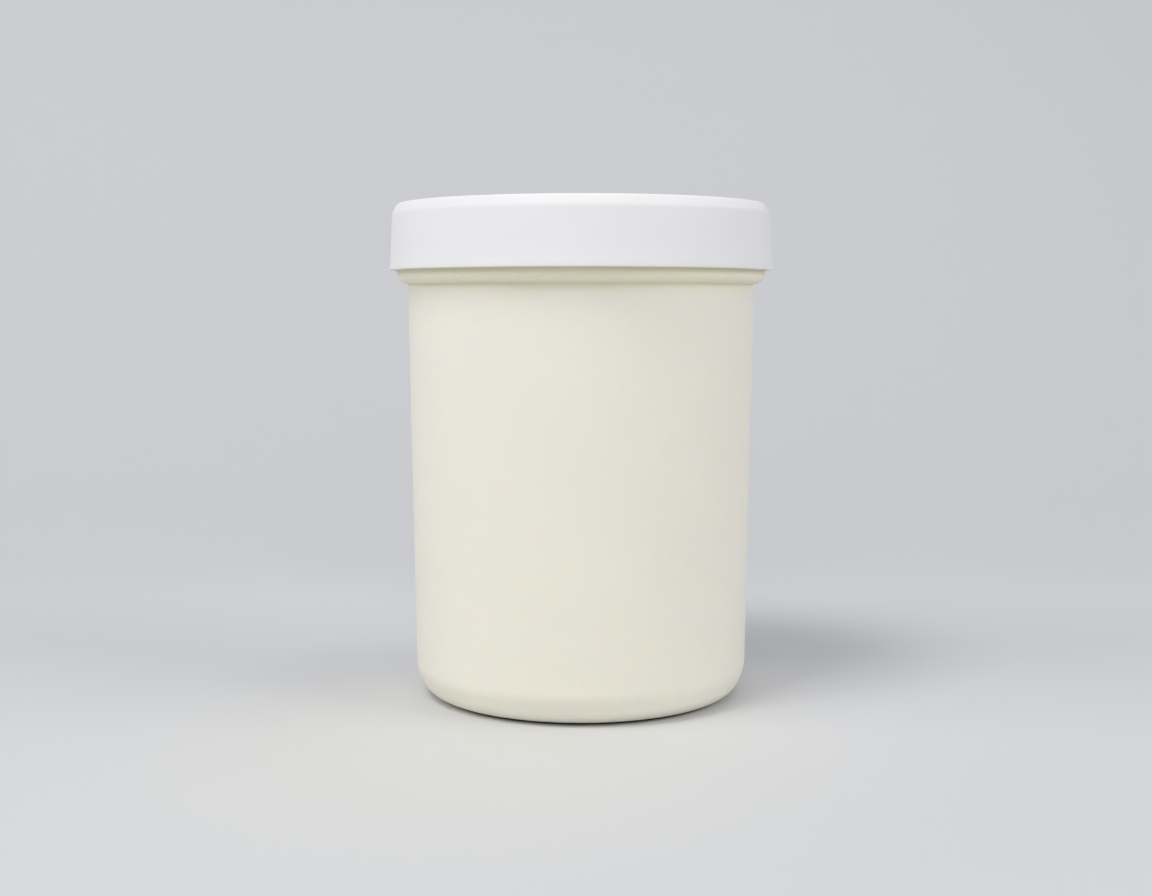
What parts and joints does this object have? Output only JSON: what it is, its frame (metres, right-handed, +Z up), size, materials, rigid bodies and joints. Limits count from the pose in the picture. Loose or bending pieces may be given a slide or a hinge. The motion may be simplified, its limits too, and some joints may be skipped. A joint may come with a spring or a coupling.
{
  "type": "lidded condensed milk jar",
  "caption": "Plain cream plastic jar of condensed milk, narrowing slightly to a rounded heel, with a collar under its rim and a white cap with a bevelled top edge.",
  "frame": {"origin": "on the jar's axis, at the level of the foot ring it stands on", "axes": "+Z up along the jar's axis, from the foot to the cap; every part is turned about it, so no side is the front and +X is free"},
  "size_m": [0.086, 0.086, 0.1109],
  "materials": {
    "cream_plastic": "satin moulded plastic, opaque",
    "white_plastic": "satin moulded plastic, opaque"
  },
  "bodies": {
    "root": {"jar": "cream_plastic", "lid": "white_plastic"}
  },
  "joints": []
}
